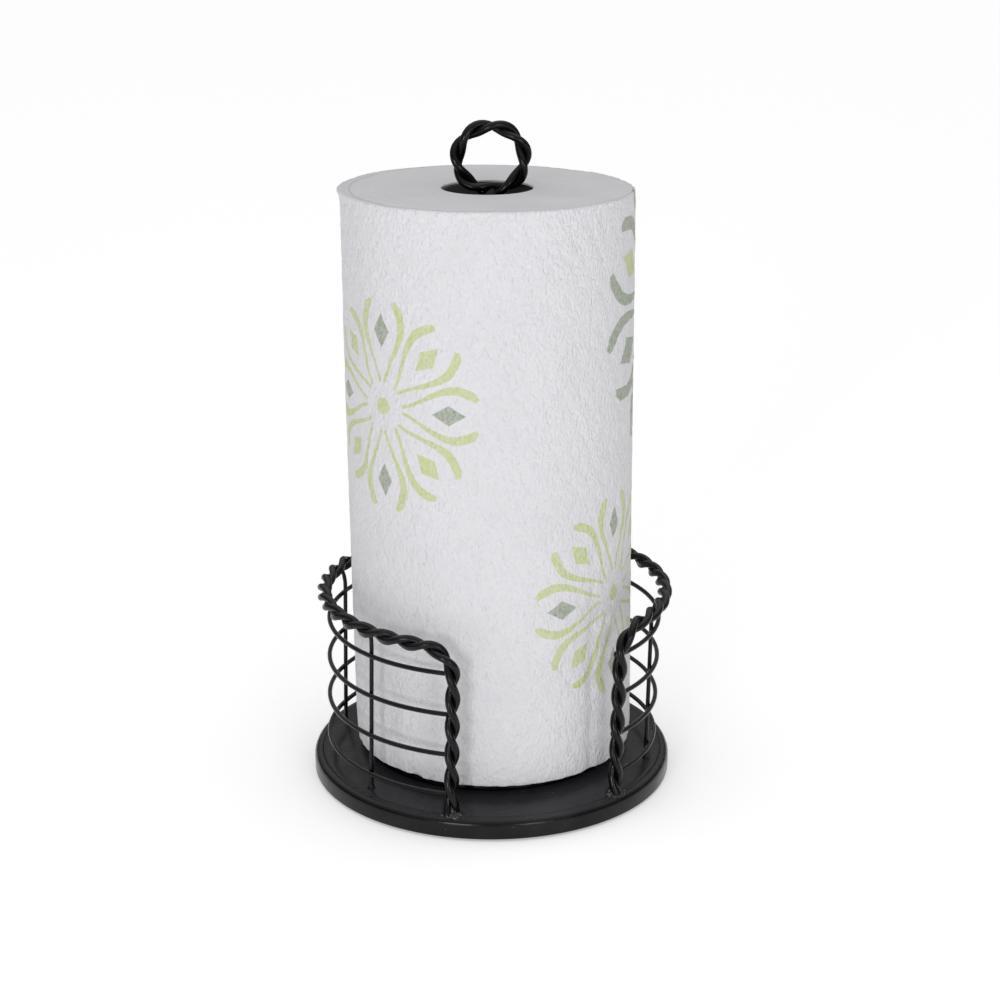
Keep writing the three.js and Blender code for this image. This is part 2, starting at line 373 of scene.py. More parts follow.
def zinc_plate():
    """Bright zinc plate: a cool grey metal with a faint milky mottle and a slightly uneven skin,
    so its reflections are soft."""
    material, tree, shader, place = new_material("zinc_plated_steel")
    mottle = add(tree, "ShaderNodeTexNoise", {}, {"Vector": place, "Scale": 1 / (1.2 * MM), "Detail": 4.0})
    colour = add(tree, "ShaderNodeMix", COLOURS, {0: mottle, 6: linear("#a9abad"), 7: linear("#c9cac6")})
    gloss = add(tree, "ShaderNodeMapRange", {}, {"Value": mottle, "To Min": 0.25, "To Max": 0.42})
    skin = add(tree, "ShaderNodeBump", {}, {"Height": mottle, "Distance": 0.05 * MM, "Strength": 0.4})
    feed(
        tree, shader, {"Metallic": 1.0, "Base Color": colour.outputs[2], "Roughness": gloss, "Normal": skin}
    )
    return material


ZINC = zinc_plate()


def stamped_washer():
    bm = bmesh.new()
    outer = washer_high.x
    draw_outline(
        bm,
        [
            (POST_RADIUS + WASHER_GAP, washer_low.z, PUNCHED_EDGE),
            (outer, washer_low.z, ROLLED_EDGE),
            (outer, washer_high.z, PUNCHED_EDGE),
            (POST_RADIUS + WASHER_GAP, washer_high.z, PUNCHED_EDGE),
        ],
    )
    turn_about_axis(bm, WASHER_STEPS)
    return bm


def hex_nut():
    """A hexagon with its corners chamfered by a cone at both ends, and a hole for the post."""
    corner = nut_high.x
    bm = bmesh.new()
    draw_outline(
        bm,
        [
            (POST_RADIUS + THREAD_GAP, nut_low.z + NUT_CHAMFER, 0),
            (POST_RADIUS + NUT_CHAMFER, nut_low.z, 0),
            (corner - NUT_CHAMFER, nut_low.z, 0),
            (corner, nut_low.z + 0.5 * NUT_CHAMFER, 0),
            (corner, nut_high.z - 0.5 * NUT_CHAMFER, 0),
            (corner - NUT_CHAMFER, nut_high.z, 0),
            (POST_RADIUS + NUT_CHAMFER, nut_high.z, 0),
            (POST_RADIUS + THREAD_GAP, nut_high.z - NUT_CHAMFER, 0),
        ],
    )
    turn_about_axis(bm, NUT_STEPS)
    flat = corner * math.cos(math.pi / 6)
    for side in range(6):
        across = math.pi / 6 + side * math.pi / 3
        normal = Vector((math.cos(across), math.sin(across), 0))
        cut = bmesh.ops.bisect_plane(
            bm,
            geom=bm.verts[:] + bm.edges[:] + bm.faces[:],
            plane_co=normal * flat,
            plane_no=normal,
            clear_outer=True,
        )
        rim = [g for g in cut["geom_cut"] if isinstance(g, bmesh.types.BMEdge)]
        bmesh.ops.holes_fill(bm, edges=rim)
    close_and_face_out(bm)
    return bm


make_piece("stamped_washer", stamped_washer(), ZINC, "holder", "zinc_steel", "post_washer")
make_piece("hex_nut", hex_nut(), ZINC, "holder", "zinc_steel", "post_nut")


# ----------------------------------------------------------
# Bottom cover and feet: a disc of dark fibreboard pushed up into the pan, with a hole over the
# nut, and four soft rubber pads stuck under it so that the holder doesn't slide or scratch.

FOOT_EDGE = 0.35 * MM

cover_low, cover_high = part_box("bottom_cover")


def fibreboard():
    """Pressed fibreboard: dark brown and matt, with pale and dark fibres lying at random."""
    material, tree, shader, place = new_material("pressed_fibreboard")
    stretched = add(
        tree, "ShaderNodeMapping", {}, {"Vector": place, "Rotation": (0, 0, 0.6), "Scale": (1.0, 0.18, 1.0)}
    )
    fibres = add(
        tree, "ShaderNodeTexNoise", {}, {"Vector": stretched, "Scale": 1 / (0.9 * MM), "Detail": 5.0}
    )
    clouds = add(tree, "ShaderNodeTexNoise", {}, {"Vector": place, "Scale": 1 / (14 * MM), "Detail": 4.0})
    mixed = add(tree, "ShaderNodeMath", TIMES, {0: fibres, 1: clouds})
    shade = add(tree, "ShaderNodeMapRange", {}, {"Value": mixed, "From Min": 0.12, "From Max": 0.4})
    colour = add(tree, "ShaderNodeMix", COLOURS, {0: shade, 6: linear("#3a2e25"), 7: linear("#6a5645")})
    skin = add(tree, "ShaderNodeBump", {}, {"Height": fibres, "Distance": 0.15 * MM, "Strength": 0.6})
    feed(tree, shader, {"Roughness": 0.85, "Base Color": colour.outputs[2], "Normal": skin})
    return material


def foot_rubber():
    """Soft black rubber: matt, a bit greyer where it is scuffed, with a fine moulded grain."""
    material, tree, shader, place = new_material("soft_black_rubber")
    grain = add(tree, "ShaderNodeTexNoise", {}, {"Vector": place, "Scale": 1 / (0.6 * MM), "Detail": 3.0})
    scuffs = add(tree, "ShaderNodeTexNoise", {}, {"Vector": place, "Scale": 1 / (5 * MM), "Detail": 5.0})
    colour = add(tree, "ShaderNodeMix", COLOURS, {0: scuffs, 6: linear("#161617"), 7: linear("#343334")})
    skin = add(tree, "ShaderNodeBump", {}, {"Height": grain, "Distance": 0.06 * MM, "Strength": 0.6})
    feed(tree, shader, {"Roughness": 0.8, "Base Color": colour.outputs[2], "Normal": skin})
    return material


RUBBER = foot_rubber()
COVER_HOLE = 13 * MM
COVER_GAP = 0.3 * MM
CUT_EDGE = 0.2 * MM


def cut_cover():
    bm = bmesh.new()
    outer = PAN_RADIUS - 2 * SHEET - HEM_RADIUS - COVER_GAP
    draw_outline(
        bm,
        [
            (COVER_HOLE, cover_low.z, 0.25 * MM),
            (outer, cover_low.z, 0.4 * MM),
            (outer, cover_high.z, CUT_EDGE),
            (COVER_HOLE, cover_high.z, CUT_EDGE),
        ],
    )
    turn_about_axis(bm, PAN_STEPS)
    return bm


def foot_pad(node):
    low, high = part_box(node)
    middle = (low + high) / 2
    radius = (high.x - low.x) / 2
    bm = bmesh.new()
    rod_on_axis(
        bm,
        [
            (0, low.z, 0),
            (radius - FOOT_EDGE, low.z, FOOT_EDGE),
            (radius, low.z + FOOT_EDGE, FOOT_EDGE / 2),
            (radius, cover_low.z, 0),
            (0, cover_low.z, 0),
        ],
    )
    bmesh.ops.translate(bm, verts=bm.verts, vec=(middle.x, middle.y, 0))
    return bm


make_piece("cut_cover", cut_cover(), fibreboard(), "holder", "cover_board", "bottom_cover")
for k in range(1, 5):
    node = f"foot_{k}"
    make_piece(f"foot_pad_{k}", foot_pad(node), RUBBER, "holder", "foot_rubber", node)


# ----------------------------------------------------------
# Cage rail: two 3.7 mm steel wires twisted together by machine, then bent by hand round a former
# into two uprights and a hoop. Each upright is arc welded to the pan in a small puddle.

STRAND_RADIUS = 1.87 * MM
STRAND_OFFSET = 1.85 * MM
STRAND_SIDES = 16
STEPS_PER_HALF_TWIST = 13
ROPE_RADIUS = STRAND_RADIUS + STRAND_OFFSET

rail_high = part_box("rail_strand_a")[1]
other_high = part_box("rail_strand_b")[1]
RAIL_RADIUS = max(rail_high.y, other_high.y) - ROPE_RADIUS
RAIL_TOP = max(rail_high.z, other_high.z) - ROPE_RADIUS
RAIL_CORNER = 15 * MM
HALF_OPENING = math.radians(28.9)
CAGE_LEAN = 0.02
RAIL_FOOT = DECK + 1 * MM
RAIL_RISE = RAIL_TOP - RAIL_CORNER - RAIL_FOOT
RAIL_BEND = RAIL_CORNER * math.pi / 2
RAIL_AROUND = 2 * RAIL_RADIUS * (math.pi - HALF_OPENING)
RAIL_LENGTH = 2 * (RAIL_RISE + RAIL_BEND) + RAIL_AROUND - 2 * RAIL_CORNER
RAIL_HALF_TWISTS = 43.65
RAIL_FIRST_PHASE = 0.79 * math.pi
RAIL_SINKS = 1.6 * MM
FOOT_SPLAY = 1.25
FOOT_SPLAY_LENGTH = 7 * MM


def cage_point(angle, radius, height):
    """A place by its angle from the front, on the cage that leans a little as it rises."""
    lean = CAGE_LEAN * (height - DECK)
    return Vector((radius * math.sin(angle) + lean, -radius * math.cos(angle), height))


def rail_middle(distance):
    """The point of the rail's middle line at a distance from the left upright's foot."""
    mirrored = distance > RAIL_LENGTH / 2
    along = RAIL_LENGTH - distance if mirrored else distance
    turn = (along - RAIL_RISE) / RAIL_CORNER
    if turn < 0:
        across, height = 0, RAIL_FOOT + along
    elif turn < math.pi / 2:
        across = RAIL_CORNER * (1 - math.cos(turn))
        height = RAIL_FOOT + RAIL_RISE + RAIL_CORNER * math.sin(turn)
    else:
        across = RAIL_CORNER + along - RAIL_RISE - RAIL_BEND
        height = RAIL_TOP
    angle = HALF_OPENING + across / RAIL_RADIUS
    return cage_point(angle if mirrored else -angle, RAIL_RADIUS, height)


def rail_outward(point):
    return Vector((point.x, point.y, 0)).normalized()


def straight_strand(start, length, twist_rate, phase):
    """One wire of a left-handed two-wire twist along Z, made by a spin that climbs as it turns."""
    steps = round(abs(twist_rate) * length / math.pi * STEPS_PER_HALF_TWIST)
    first = phase + twist_rate * start
    centre = Vector((STRAND_OFFSET * math.cos(first), STRAND_OFFSET * math.sin(first), start))
    slope = STRAND_OFFSET * twist_rate
    tangent = Vector((-math.sin(first) * slope, math.cos(first) * slope, 1))
    facing = Vector((0, 0, 1)).rotation_difference(tangent).to_matrix().to_4x4()
    bm = bmesh.new()
    bmesh.ops.create_circle(
        bm, segments=STRAND_SIDES, radius=STRAND_RADIUS, matrix=Matrix.Translation(centre) @ facing
    )
    bmesh.ops.spin(
        bm,
        geom=bm.verts[:] + bm.edges[:],
        cent=(0, 0, 0),
        axis=(0, 0, 1),
        dvec=(0, 0, length / steps),
        angle=twist_rate * length,
        steps=steps,
    )
    bmesh.ops.holes_fill(bm, edges=bm.edges[:])
    return bm


def bend_strand(bm, middle, outward, splay):
    """Lays the straight strand along a path, given by its middle line and its outward side."""
    step = 0.2 * MM
    for vert in bm.verts:
        distance = vert.co.z
        point = middle(distance)
        tangent = (middle(distance + step) - middle(distance - step)).normalized()
        out = outward(point)
        sideways = tangent.cross(out).normalized()
        spread = splay(distance)
        vert.co = point + out * vert.co.x * spread + sideways * vert.co.y * spread
    bmesh.ops.recalc_face_normals(bm, faces=bm.faces)


def rail_splay(distance):
    """The wires open out a little where they run into the weld."""
    from_end = max(0.0, min(distance, RAIL_LENGTH - distance)) / FOOT_SPLAY_LENGTH
    return 1 + (FOOT_SPLAY - 1) * max(0.0, 1 - from_end) ** 2


RAIL_TWIST_RATE = -math.pi * RAIL_HALF_TWISTS / RAIL_LENGTH
for letter, turned in (("a", 0), ("b", math.pi)):
    strand = straight_strand(
        -RAIL_SINKS, RAIL_LENGTH + 2 * RAIL_SINKS, RAIL_TWIST_RATE, RAIL_FIRST_PHASE + turned
    )
    bend_strand(strand, rail_middle, rail_outward, rail_splay)
    make_piece(f"rail_wire_{letter}", strand, *COATED, f"rail_strand_{letter}")

WELD_WIDTH = 5.6 * MM
WELD_DEPTH = 4.4 * MM
WELD_HEIGHT = 1.5 * MM
WELD_LUMPS = 0.22
WELD_RIPPLES = 0.12
WELD_CLIMB = 2.2
WELD_CLIMB_SHARE = 0.5


def weld_metal():
    """Arc weld metal under a thin coat: the same black, but lumpy, and a dull grey on its high
    spots."""
    material, tree, shader, place = new_material("thinly_coated_weld")
    lumps = add(tree, "ShaderNodeTexNoise", {}, {"Vector": place, "Scale": 1 / (1.1 * MM), "Detail": 4.0})
    # Lighter grey on the lumps' high spots, which the same noise raises in the bump.
    grey_high_spots = add(tree, "ShaderNodeMapRange", SMOOTH, {"Value": lumps, "From Min": 0.5, "From Max": 0.68})
    colour = add(tree, "ShaderNodeMix", COLOURS, {0: grey_high_spots, 6: linear("#131214"), 7: linear("#6f7070")})
    skin = add(tree, "ShaderNodeBump", {}, {"Height": lumps, "Distance": 0.5 * MM, "Strength": 0.8})
    feed(tree, shader, {"Roughness": 0.42, "Base Color": colour.outputs[2], "Normal": skin})
    return material


WELD_METAL = weld_metal()


def weld_puddle(centre, outward, width, depth, height, seed):
    """A low lumpy dome of weld metal, wider along the rim than across it."""
    bm = bmesh.new()
    bmesh.ops.create_uvsphere(bm, u_segments=48, v_segments=28, radius=1)
    for vert in bm.verts:
        lump = 1 + WELD_LUMPS * noise.noise(vert.co * 1.9 + Vector((seed, 0, 0)))
        ripple = 1 + WELD_RIPPLES * noise.noise(vert.co * 5 + Vector((0, seed, 0)))
        climb = 1 + WELD_CLIMB * math.exp(-((vert.co.xy.length / WELD_CLIMB_SHARE) ** 2))
        x, y, z = vert.co
        vert.co = (x * width * lump, y * depth * lump, z * height * ripple * climb)
    turn = math.atan2(outward.y, outward.x) + math.pi / 2
    bmesh.ops.rotate(bm, verts=bm.verts, cent=(0, 0, 0), matrix=Matrix.Rotation(turn, 3, "Z"))
    bmesh.ops.translate(bm, verts=bm.verts, vec=centre)
    return bm


for side, distance in (("left", 0), ("right", RAIL_LENGTH)):
    foot = rail_middle(distance)
    foot.z = deck_level(foot.xy.length)
    puddle = weld_puddle(foot, rail_outward(foot), WELD_WIDTH, WELD_DEPTH, WELD_HEIGHT, len(side))
    make_piece(f"upright_weld_{side}", puddle, WELD_METAL, "holder", "black_paint")


# ----------------------------------------------------------
# Hoops: four plain 2.3 mm steel wires rolled to the cage's curve. Their cut ends are butt welded
# to the uprights, and each weld leaves a small flare of metal under the coat.

HOOP_WIRE = 1.15 * MM
HOOP_SIDES = 14
HOOP_STEPS = 132
HOOP_RADIUS = RAIL_RADIUS - 2.4 * MM
HOOP_STOPS_SHORT = 0.6 * MM
FLARE = ((0.9, 1.08), (0.7, 1.28), (0.6, 1.65), (0.6, 2.1))


def flare_ends(bm, steps):
    """Extrudes each open end of a wire outwards in short steps (length, widening), then caps it."""
    while any(e.is_boundary for e in bm.edges):
        rim = [e for e in bm.edges if e.is_boundary]
        ring = [rim[0]]
        while True:
            reached = {v for e in ring for v in e.verts}
            more = [e for e in rim if e not in ring and reached.intersection(e.verts)]
            if not more:
                break
            ring += more
        corners = list(dict.fromkeys(v for e in ring for v in e.verts))
        middle = sum((v.co for v in corners), Vector()) / len(corners)
        wall = ring[0].link_faces[0]
        inside = sum((v.co for v in wall.verts), Vector()) / len(wall.verts)
        normal = (corners[0].co - middle).cross(corners[1].co - middle).normalized()
        away = normal if normal.dot(middle - inside) > 0 else -normal
        widened = 1.0
        for length, widening in steps:
            made = bmesh.ops.extrude_edge_only(bm, edges=ring)["geom"]
            ring = [g for g in made if isinstance(g, bmesh.types.BMEdge) and g.is_boundary]
            corners = [g for g in made if isinstance(g, bmesh.types.BMVert)]
            middle = middle + away * length * MM
            bmesh.ops.translate(bm, verts=corners, vec=away * length * MM)
            bmesh.ops.scale(
                bm, verts=corners, vec=(widening / widened,) * 3, space=Matrix.Translation(-middle)
            )
            widened = widening
        bmesh.ops.holes_fill(bm, edges=ring)
    bmesh.ops.recalc_face_normals(bm, faces=bm.faces)


def rolled_hoop(height):
    """A wire that runs round the back from one upright to the other."""
    flare_length = sum(length for length, _ in FLARE) * MM
    start = HALF_OPENING + (flare_length + HOOP_STOPS_SHORT) / HOOP_RADIUS
    bm = bmesh.new()
    bmesh.ops.create_circle(
        bm,
        segments=HOOP_SIDES,
        radius=HOOP_WIRE,
        matrix=Matrix.Translation((HOOP_RADIUS, 0, height)) @ Matrix.Rotation(math.pi / 2, 4, "X"),
    )
    bmesh.ops.rotate(
        bm, verts=bm.verts, cent=(0, 0, 0), matrix=Matrix.Rotation(-math.pi / 2 + start, 3, "Z")
    )
    bmesh.ops.spin(
        bm,
        geom=bm.verts[:] + bm.edges[:],
        cent=(0, 0, 0),
        axis=(0, 0, 1),
        angle=2 * (math.pi - start),
        steps=HOOP_STEPS,
    )
    flare_ends(bm, FLARE)
    bmesh.ops.translate(bm, verts=bm.verts, vec=(CAGE_LEAN * (height - DECK), 0, 0))
    return bm


for k in range(1, 5):
    hoop_low, hoop_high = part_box(f"hoop_{k}")
    hoop = rolled_hoop((hoop_low.z + hoop_high.z) / 2)
    make_piece(f"rolled_hoop_{k}", hoop, *COATED, f"hoop_{k}")


# ----------------------------------------------------------
# Stays: five thin straight wires inside the hoops, spot welded to each of them. Their feet are
# welded to the pan and their tops to the underside of the rail.

STAY_WIRE = 1.05 * MM
STAY_SIDES = 14
STAY_STEPS = 24
STAY_RADIUS = HOOP_RADIUS - 2.1 * MM
STAY_NAMES = ("stay_front_left", "stay_back_left", "stay_back", "stay_back_right", "stay_front_right")
STAY_SINKS = 0.4 * MM
STAY_TOP_REACH = 4.0 * MM
STAY_LEANS_OUT = 1.9 * MM
STAY_BEND = 9 * MM


def straight_stay(node):
    low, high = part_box(node)
    middle = (low + high) / 2
    angle = math.atan2(middle.x - CAGE_LEAN * (middle.z - DECK), -middle.y)
    flare_length = sum(length for length, _ in FLARE) * MM
    bottom = deck_level(middle.xy.length) - STAY_SINKS + flare_length
    top = high.z + STAY_TOP_REACH
    bm = bmesh.new()
    bmesh.ops.create_circle(bm, segments=STAY_SIDES, radius=STAY_WIRE)
    bmesh.ops.translate(bm, verts=bm.verts, vec=(0, 0, bottom))
    rim = bm.edges[:]
    for _ in range(STAY_STEPS):
        made = bmesh.ops.extrude_edge_only(bm, edges=rim)["geom"]
        rim = [g for g in made if isinstance(g, bmesh.types.BMEdge) and g.is_boundary]
        corners = [g for g in made if isinstance(g, bmesh.types.BMVert)]
        bmesh.ops.translate(bm, verts=corners, vec=(0, 0, (top - bottom) / STAY_STEPS))
    bmesh.ops.holes_fill(bm, edges=rim)
    flare_ends(bm, FLARE)
    for vert in bm.verts:
        bent = max(0.0, 1 - (top - vert.co.z) / STAY_BEND)
        spot = cage_point(angle, STAY_RADIUS + STAY_LEANS_OUT * bent**2, vert.co.z)
        vert.co += Vector((spot.x, spot.y, 0))
    return bm


for node in STAY_NAMES:
    wire = straight_stay(node)
    make_piece(node.replace("stay", "straight_stay"), wire, *COATED, node)


# ----------------------------------------------------------
# Finger ring: the same two-wire twist bent into an upright oval. Both its ends meet on top of the
# post, where one weld bead joins them.

RING_HALF_TWISTS = 7
RING_TURN = math.radians(-16)

ring_a_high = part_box("ring_strand_a")[1]
ring_b_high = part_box("ring_strand_b")[1]
RING_TOP = max(ring_a_high.z, ring_b_high.z)
RING_HALF_WIDTH = 15.9 * MM
RING_HALF_HEIGHT = 15 * MM
RING_MIDDLE = RING_TOP - RING_HALF_HEIGHT - ROPE_RADIUS + 0.2 * MM
RING_LENGTH = math.pi * (RING_HALF_WIDTH + RING_HALF_HEIGHT)
RING_WELD = (4.8 * MM, 3.8 * MM, 1.6 * MM)
RING_TURNED = Matrix.Rotation(RING_TURN, 3, "Z")


def ring_middle(distance):
    angle = -math.pi / 2 + 2 * math.pi * distance / RING_LENGTH
    across = RING_HALF_WIDTH * math.cos(angle)
    return RING_TURNED @ Vector((across, 0, RING_MIDDLE + RING_HALF_HEIGHT * math.sin(angle)))


def ring_outward(point):
    return (point - Vector((0, 0, RING_MIDDLE))).normalized()


RING_TWIST_RATE = -math.pi * RING_HALF_TWISTS / RING_LENGTH
for letter, turned in (("a", 0), ("b", math.pi)):
    strand = straight_strand(0, RING_LENGTH, RING_TWIST_RATE, turned)
    bend_strand(strand, ring_middle, ring_outward, lambda distance: 1)
    make_piece(f"ring_wire_{letter}", strand, *COATED, f"ring_strand_{letter}")

ring_bottom = Vector((0, 0, RING_MIDDLE - RING_HALF_HEIGHT - 0.6 * ROPE_RADIUS))
ring_weld = weld_puddle(ring_bottom, Vector((0, -1, 0)), *RING_WELD, 2)
make_piece("ring_weld", ring_weld, *COATED)


# ----------------------------------------------------------
# Roll core: a tube wound from two plies of grey board on the skew, so that a seam spirals up it.
# It stands upright on the seat disc, and the paper turns on it.

CORE_STEPS = 120
CORE_RISES = 150
CORE_PLY = 0.35 * MM
CORE_SUNK = 1.4 * MM
SEAM_PITCH = 72 * MM
SEAM_SHARE = 0.02
CORE_WALL = 1.5 * MM

core_low, core_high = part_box("towel_core")
roll_low, roll_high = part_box("towel_roll")
ROLL_FOOT = roll_low.z
ROLL_TOP = roll_high.z
ROLL_RADIUS = roll_high.x
CORE_OUTER = core_high.x
CORE_INNER = CORE_OUTER - CORE_WALL


def core_board():
    """Grey chipboard from waste paper: matt, and flecked with darker and lighter pulp. Its greys are
    painted as dark as the shade inside the roll's bore.
    """
    material, tree, shader, place = new_material("chipboard_in_painted_bore_shade")
    flecks = add(tree, "ShaderNodeTexNoise", {}, {"Vector": place, "Scale": 1 / (0.8 * MM), "Detail": 5.0})
    clouds = add(tree, "ShaderNodeTexNoise", {}, {"Vector": place, "Scale": 1 / (11 * MM), "Detail": 3.0})
    blend = add(tree, "ShaderNodeMath", {"operation": "MULTIPLY_ADD"}, {0: flecks, 1: 0.6, 2: clouds})
    shade = add(tree, "ShaderNodeMapRange", {}, {"Value": blend, "From Min": 0.5, "From Max": 1.1})
    # Painted shade: both greys are set as dark as the bore looks in its own shadow, darker than the bare
    # board.
    colour = add(tree, "ShaderNodeMix", COLOURS, {0: shade, 6: linear("#393839"), 7: linear("#565557")})
    skin = add(tree, "ShaderNodeBump", {}, {"Height": flecks, "Distance": 0.12 * MM, "Strength": 0.5})
    feed(tree, shader, {"Roughness": 0.9, "Base Color": colour.outputs[2], "Normal": skin})
    return material


def wound_core():
    bm = bmesh.new()
    corners = [(CORE_INNER, core_low.z), (CORE_OUTER, core_low.z)]
    corners += [(CORE_OUTER, core_high.z - CORE_SUNK), (CORE_INNER, core_high.z - CORE_SUNK)]
    verts = [bm.verts.new((radius, 0, height)) for radius, height in corners]
    for first, second in zip(verts, verts[1:] + verts[:1]):
        bm.edges.new((first, second))
    upright = [e for e in bm.edges if abs(e.verts[0].co.z - e.verts[1].co.z) > 10 * MM]
    bmesh.ops.subdivide_edges(bm, edges=upright, cuts=CORE_RISES)
    turn_about_axis(bm, CORE_STEPS)
    for vert in bm.verts:
        radius = vert.co.xy.length
        angle = math.atan2(vert.co.y, vert.co.x)
        climb = (vert.co.z / SEAM_PITCH - angle / (2 * math.pi)) % 1.0
        seam = max(0.0, 1 - min(climb, 1 - climb) / SEAM_SHARE)
        if radius < (CORE_INNER + CORE_OUTER) / 2:
            vert.co.xy *= (radius + CORE_PLY * seam) / radius
    return bm


make_piece("wound_core", wound_core(), core_board(), "core", "core_board", "towel_core")


# ----------------------------------------------------------
# Towel roll: two-ply embossed paper wound on the core, about a hundred turns. The outer turn is
# printed with loose leafy rosettes, its tail lies down at the back, and the rim is a bit frayed.

ROLL_STEPS = 300
WALL_CUTS = 186
FACE_CUTS = 52
INNER_RADIUS = CORE_OUTER + 0.25 * MM
LIP_RADIUS = CORE_INNER - 0.3 * MM
LIP_DEPTH = 1.0 * MM
RIM_ROUNDING = 1.1 * MM
RIM_BAND = 1.5 * MM
SLACK = 0.1 * MM
EMBOSS_WIDTH = 3.2 * MM
EMBOSS_LENGTH = 6 * MM
EMBOSS_DEPTH = 0.22 * MM
QUILT_COUNT = 44
QUILT_HEIGHT = 17 * MM
QUILT_DEPTH = 0.34 * MM
QUILT_LINE = 0.3
QUILT_WANDERS = 1.5
DENT_WIDTH = 24 * MM
DENT_LENGTH = 210 * MM
DENT_DEPTH = 0.7 * MM
LEAN_ANGLE = math.radians(-16.1)
LEAN_WAY = Vector((math.cos(LEAN_ANGLE), math.sin(LEAN_ANGLE), 0))
LEAN_AT_FOOT = 1.0 * MM
LEAN_AT_TOP = -1.7 * MM
BORE_BAND = 0.05 * MM
TURN_PITCH = 2.6 * MM
TURN_DEPTH = 0.3 * MM
FACE_SWELL = 0.5 * MM
FACE_SWELL_WIDTH = 26 * MM
TAIL_ANGLE = math.radians(152)
TAIL_STEP = 0.7 * MM
TAIL_FADES_OVER = 0.9
FLARE_ANGLE = math.radians(-108)
FLARE_HALF_ANGLE = 0.42
FLARE_DEPTH = 1.7 * MM
FLARE_REACH = 2.6 * MM
RIM_LIFT_ANGLE = math.radians(-150)
RIM_LIFT = 0.9 * MM
RIM_LIFT_HALF_ANGLE = 0.9
RIM_LIFT_WIDTH = 3 * MM
NICK_ANGLE = math.radians(-50)
NICK_HALF_ANGLE = 0.05
NICK_DEPTH = 1.6 * MM
NICK_REACH = 4 * MM
FOOT_CURL = 0.6 * MM
FOOT_CURL_REACH = 2.5 * MM
# Soft upright creases: degrees from the front, how far up from the foot, and depth
CREASES = ((28.5, 95 * MM, 1.6 * MM), (-61, 60 * MM, 0.5 * MM), (-38, 40 * MM, 0.35 * MM))
CREASE_WIDTH = 4.2 * MM


def angle_from(vert, middle):
    """The angle round the roll from a direction, counted from the front, positive to the right."""
    angle = math.atan2(vert.co.x, -vert.co.y) - middle
    return (angle + math.pi) % (2 * math.pi) - math.pi


def wall_relief(vert):
    """How far the outer turn stands out: embossing, soft creases, tail, flared and nicked rims."""
    round_roll = math.atan2(vert.co.x, -vert.co.y)
    stretched = Vector((vert.co.x / EMBOSS_WIDTH, vert.co.y / EMBOSS_WIDTH, vert.co.z / EMBOSS_LENGTH))
    wander = QUILT_WANDERS * noise.noise(stretched * 0.6)
    climb = 2 * math.pi * vert.co.z / QUILT_HEIGHT
    rising = math.sin(QUILT_COUNT * round_roll / 2 + climb / 2 + wander)
    falling = math.sin(QUILT_COUNT * round_roll / 2 - climb / 2 + wander)
    lines = math.exp(-((rising / QUILT_LINE) ** 2)) + math.exp(-((falling / QUILT_LINE) ** 2))
    relief = -QUILT_DEPTH * lines
    relief += EMBOSS_DEPTH * noise.noise(stretched)
    slow = Vector((vert.co.x / DENT_WIDTH, vert.co.y / DENT_WIDTH, vert.co.z / DENT_LENGTH))
    relief += DENT_DEPTH * (noise.noise(slow) - 0.35)
    behind_tail = angle_from(vert, TAIL_ANGLE)
    if behind_tail < 0:
        relief += TAIL_STEP * max(0.0, 1 + behind_tail / TAIL_FADES_OVER)
    below_top = ROLL_TOP - vert.co.z
    flare = math.exp(-((angle_from(vert, FLARE_ANGLE) / FLARE_HALF_ANGLE) ** 2))
    relief += FLARE_DEPTH * flare * math.exp(-((below_top / FLARE_REACH) ** 2))
    above_foot = vert.co.z - ROLL_FOOT
    for degrees, reach, depth in CREASES:
        aside = angle_from(vert, math.radians(degrees)) * ROLL_RADIUS / CREASE_WIDTH
        relief -= depth * math.exp(-(aside**2)) * math.exp(-((above_foot / reach) ** 4))
    nick = math.exp(-((angle_from(vert, NICK_ANGLE) / NICK_HALF_ANGLE) ** 2))
    relief -= NICK_DEPTH * nick * math.exp(-((above_foot / NICK_REACH) ** 2))
    relief -= FOOT_CURL * math.exp(-above_foot / FOOT_CURL_REACH)
    return relief


def slump(height):
    """How far sideways the wound paper is slid at a height. It leans a touch, but its bore doesn't."""
    share = (height - ROLL_FOOT) / (ROLL_TOP - ROLL_FOOT)
    return LEAN_WAY * (LEAN_AT_FOOT + (LEAN_AT_TOP - LEAN_AT_FOOT) * share)


def face_relief(vert, radius):
    """How far the wound edges stand up on the top, turn by turn, higher at the back left."""
    angle = math.atan2(vert.co.y, vert.co.x)
    turn = (radius + TURN_PITCH * angle / (2 * math.pi)) / TURN_PITCH
    wander = Vector((math.cos(angle) * 0.8, math.sin(angle) * 0.8, turn * 1.3))
    rise = TURN_DEPTH * noise.noise(wander)
    soft = Vector((vert.co.x, vert.co.y, 0)) / FACE_SWELL_WIDTH
    rise += FACE_SWELL * noise.noise(soft)
    edge = math.exp(-(((ROLL_RADIUS - radius) / RIM_LIFT_WIDTH) ** 2))
    side = math.exp(-((angle_from(vert, RIM_LIFT_ANGLE) / RIM_LIFT_HALF_ANGLE) ** 2))
    rise += RIM_LIFT * edge * side
    return rise


